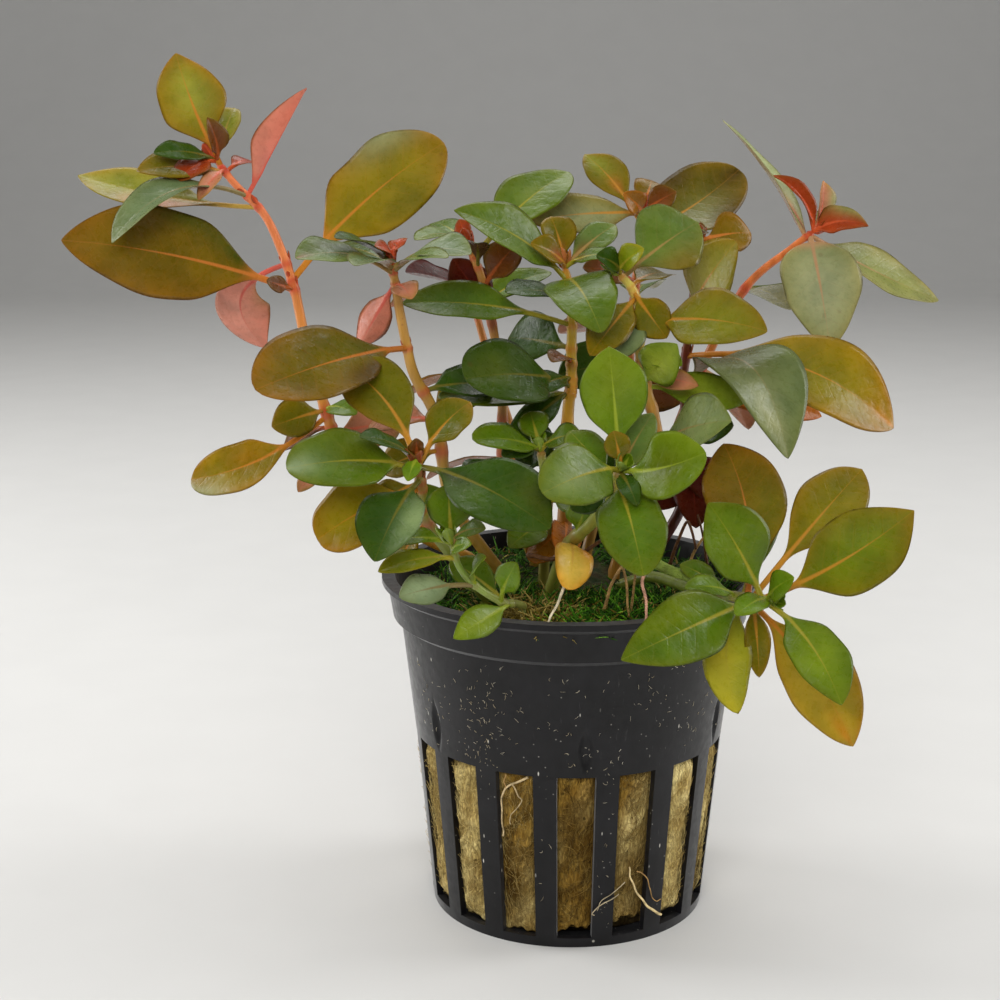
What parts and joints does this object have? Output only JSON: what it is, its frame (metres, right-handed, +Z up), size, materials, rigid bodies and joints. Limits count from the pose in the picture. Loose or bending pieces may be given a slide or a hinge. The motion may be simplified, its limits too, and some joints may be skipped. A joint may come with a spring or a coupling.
{
  "type": "potted aquarium plant",
  "caption": "Bushy stem plant for an aquarium, with oval green, olive and pink leaves, rooted in mineral wool in a black slotted net pot.",
  "frame": {"origin": "centre of the pot's flat underside, on the surface that it stands on", "axes": "+Z up along the pot's axis, -Y towards the front of the plant, +X to the right seen from the front"},
  "size_m": [0.132, 0.089, 0.124],
  "materials": {
    "pot_plastic": "injection-moulded black plastic, satin",
    "mineral_wool": "fibrous, yellow-brown",
    "moss": "fine green tufts and thin roots",
    "stem_orange": "smooth plant stem, orange-red to yellow-green",
    "stem_green": "smooth plant stem, green",
    "stem_maroon": "smooth plant stem, dark red",
    "leaf_green": "waxy leaf, pinkish underside",
    "leaf_fresh": "waxy bright green leaf",
    "leaf_dark": "waxy dark green leaf",
    "leaf_grey": "waxy grey-green leaf",
    "leaf_olive": "waxy olive leaf, orange midrib",
    "leaf_bronze": "waxy olive-brown leaf, orange midrib",
    "leaf_pink": "waxy leaf turned to its pink underside",
    "leaf_maroon": "waxy leaf turned to its dark red underside"
  },
  "bodies": {
    "root": {"pot": "pot_plastic", "rockwool": "mineral_wool", "moss": "moss", "stem_tall_left": "stem_orange", "stem_left": "stem_orange", "stem_mid_left": "stem_orange", "stem_front_left": "stem_green", "stem_centre": "stem_orange", "stem_mid_right": "stem_orange", "stem_back_top": "stem_orange", "stem_right": "stem_maroon", "stem_far_right": "stem_orange", "stem_front_centre": "stem_green", "stem_front_right": "stem_green", "stem_rim_left": "stem_green", "stem_inner": "stem_green", "stem_back": "stem_orange", "leaf_tall_left_1": "leaf_bronze", "leaf_tall_left_2": "leaf_grey", "leaf_tall_left_3": "leaf_green", "leaf_tall_left_4": "leaf_olive", "leaf_tall_left_5": "leaf_pink", "leaf_tall_left_6": "leaf_pink", "leaf_tall_left_7": "leaf_olive", "leaf_tall_left_8": "leaf_bronze", "leaf_left_1": "leaf_olive", "leaf_left_2": "leaf_grey", "leaf_left_3": "leaf_olive", "leaf_mid_left_1": "leaf_maroon", "leaf_mid_left_2": "leaf_green", "leaf_front_left_1": "leaf_olive", "leaf_front_left_2": "leaf_olive", "leaf_front_left_3": "leaf_dark", "leaf_front_left_4": "leaf_green", "leaf_front_left_5": "leaf_bronze", "leaf_front_left_6": "leaf_dark", "leaf_centre_1": "leaf_green", "leaf_centre_2": "leaf_green", "leaf_centre_3": "leaf_green", "leaf_centre_4": "leaf_dark", "leaf_mid_right_1": "leaf_green", "leaf_mid_right_2": "leaf_green", "leaf_mid_right_3": "leaf_grey", "leaf_back_top_1": "leaf_olive", "leaf_back_top_2": "leaf_olive", "leaf_right_1": "leaf_grey", "leaf_right_2": "leaf_olive", "leaf_far_right_1": "leaf_grey", "leaf_far_right_2": "leaf_olive", "leaf_front_centre_1": "leaf_fresh", "leaf_front_centre_2": "leaf_green", "leaf_front_centre_3": "leaf_green", "leaf_front_centre_4": "leaf_green", "leaf_front_right_1": "leaf_bronze", "leaf_front_right_2": "leaf_green", "leaf_front_right_3": "leaf_olive", "leaf_front_right_4": "leaf_green", "leaf_front_right_5": "leaf_green", "leaf_front_right_6": "leaf_green", "leaf_front_right_7": "leaf_bronze"}
  },
  "joints": []
}
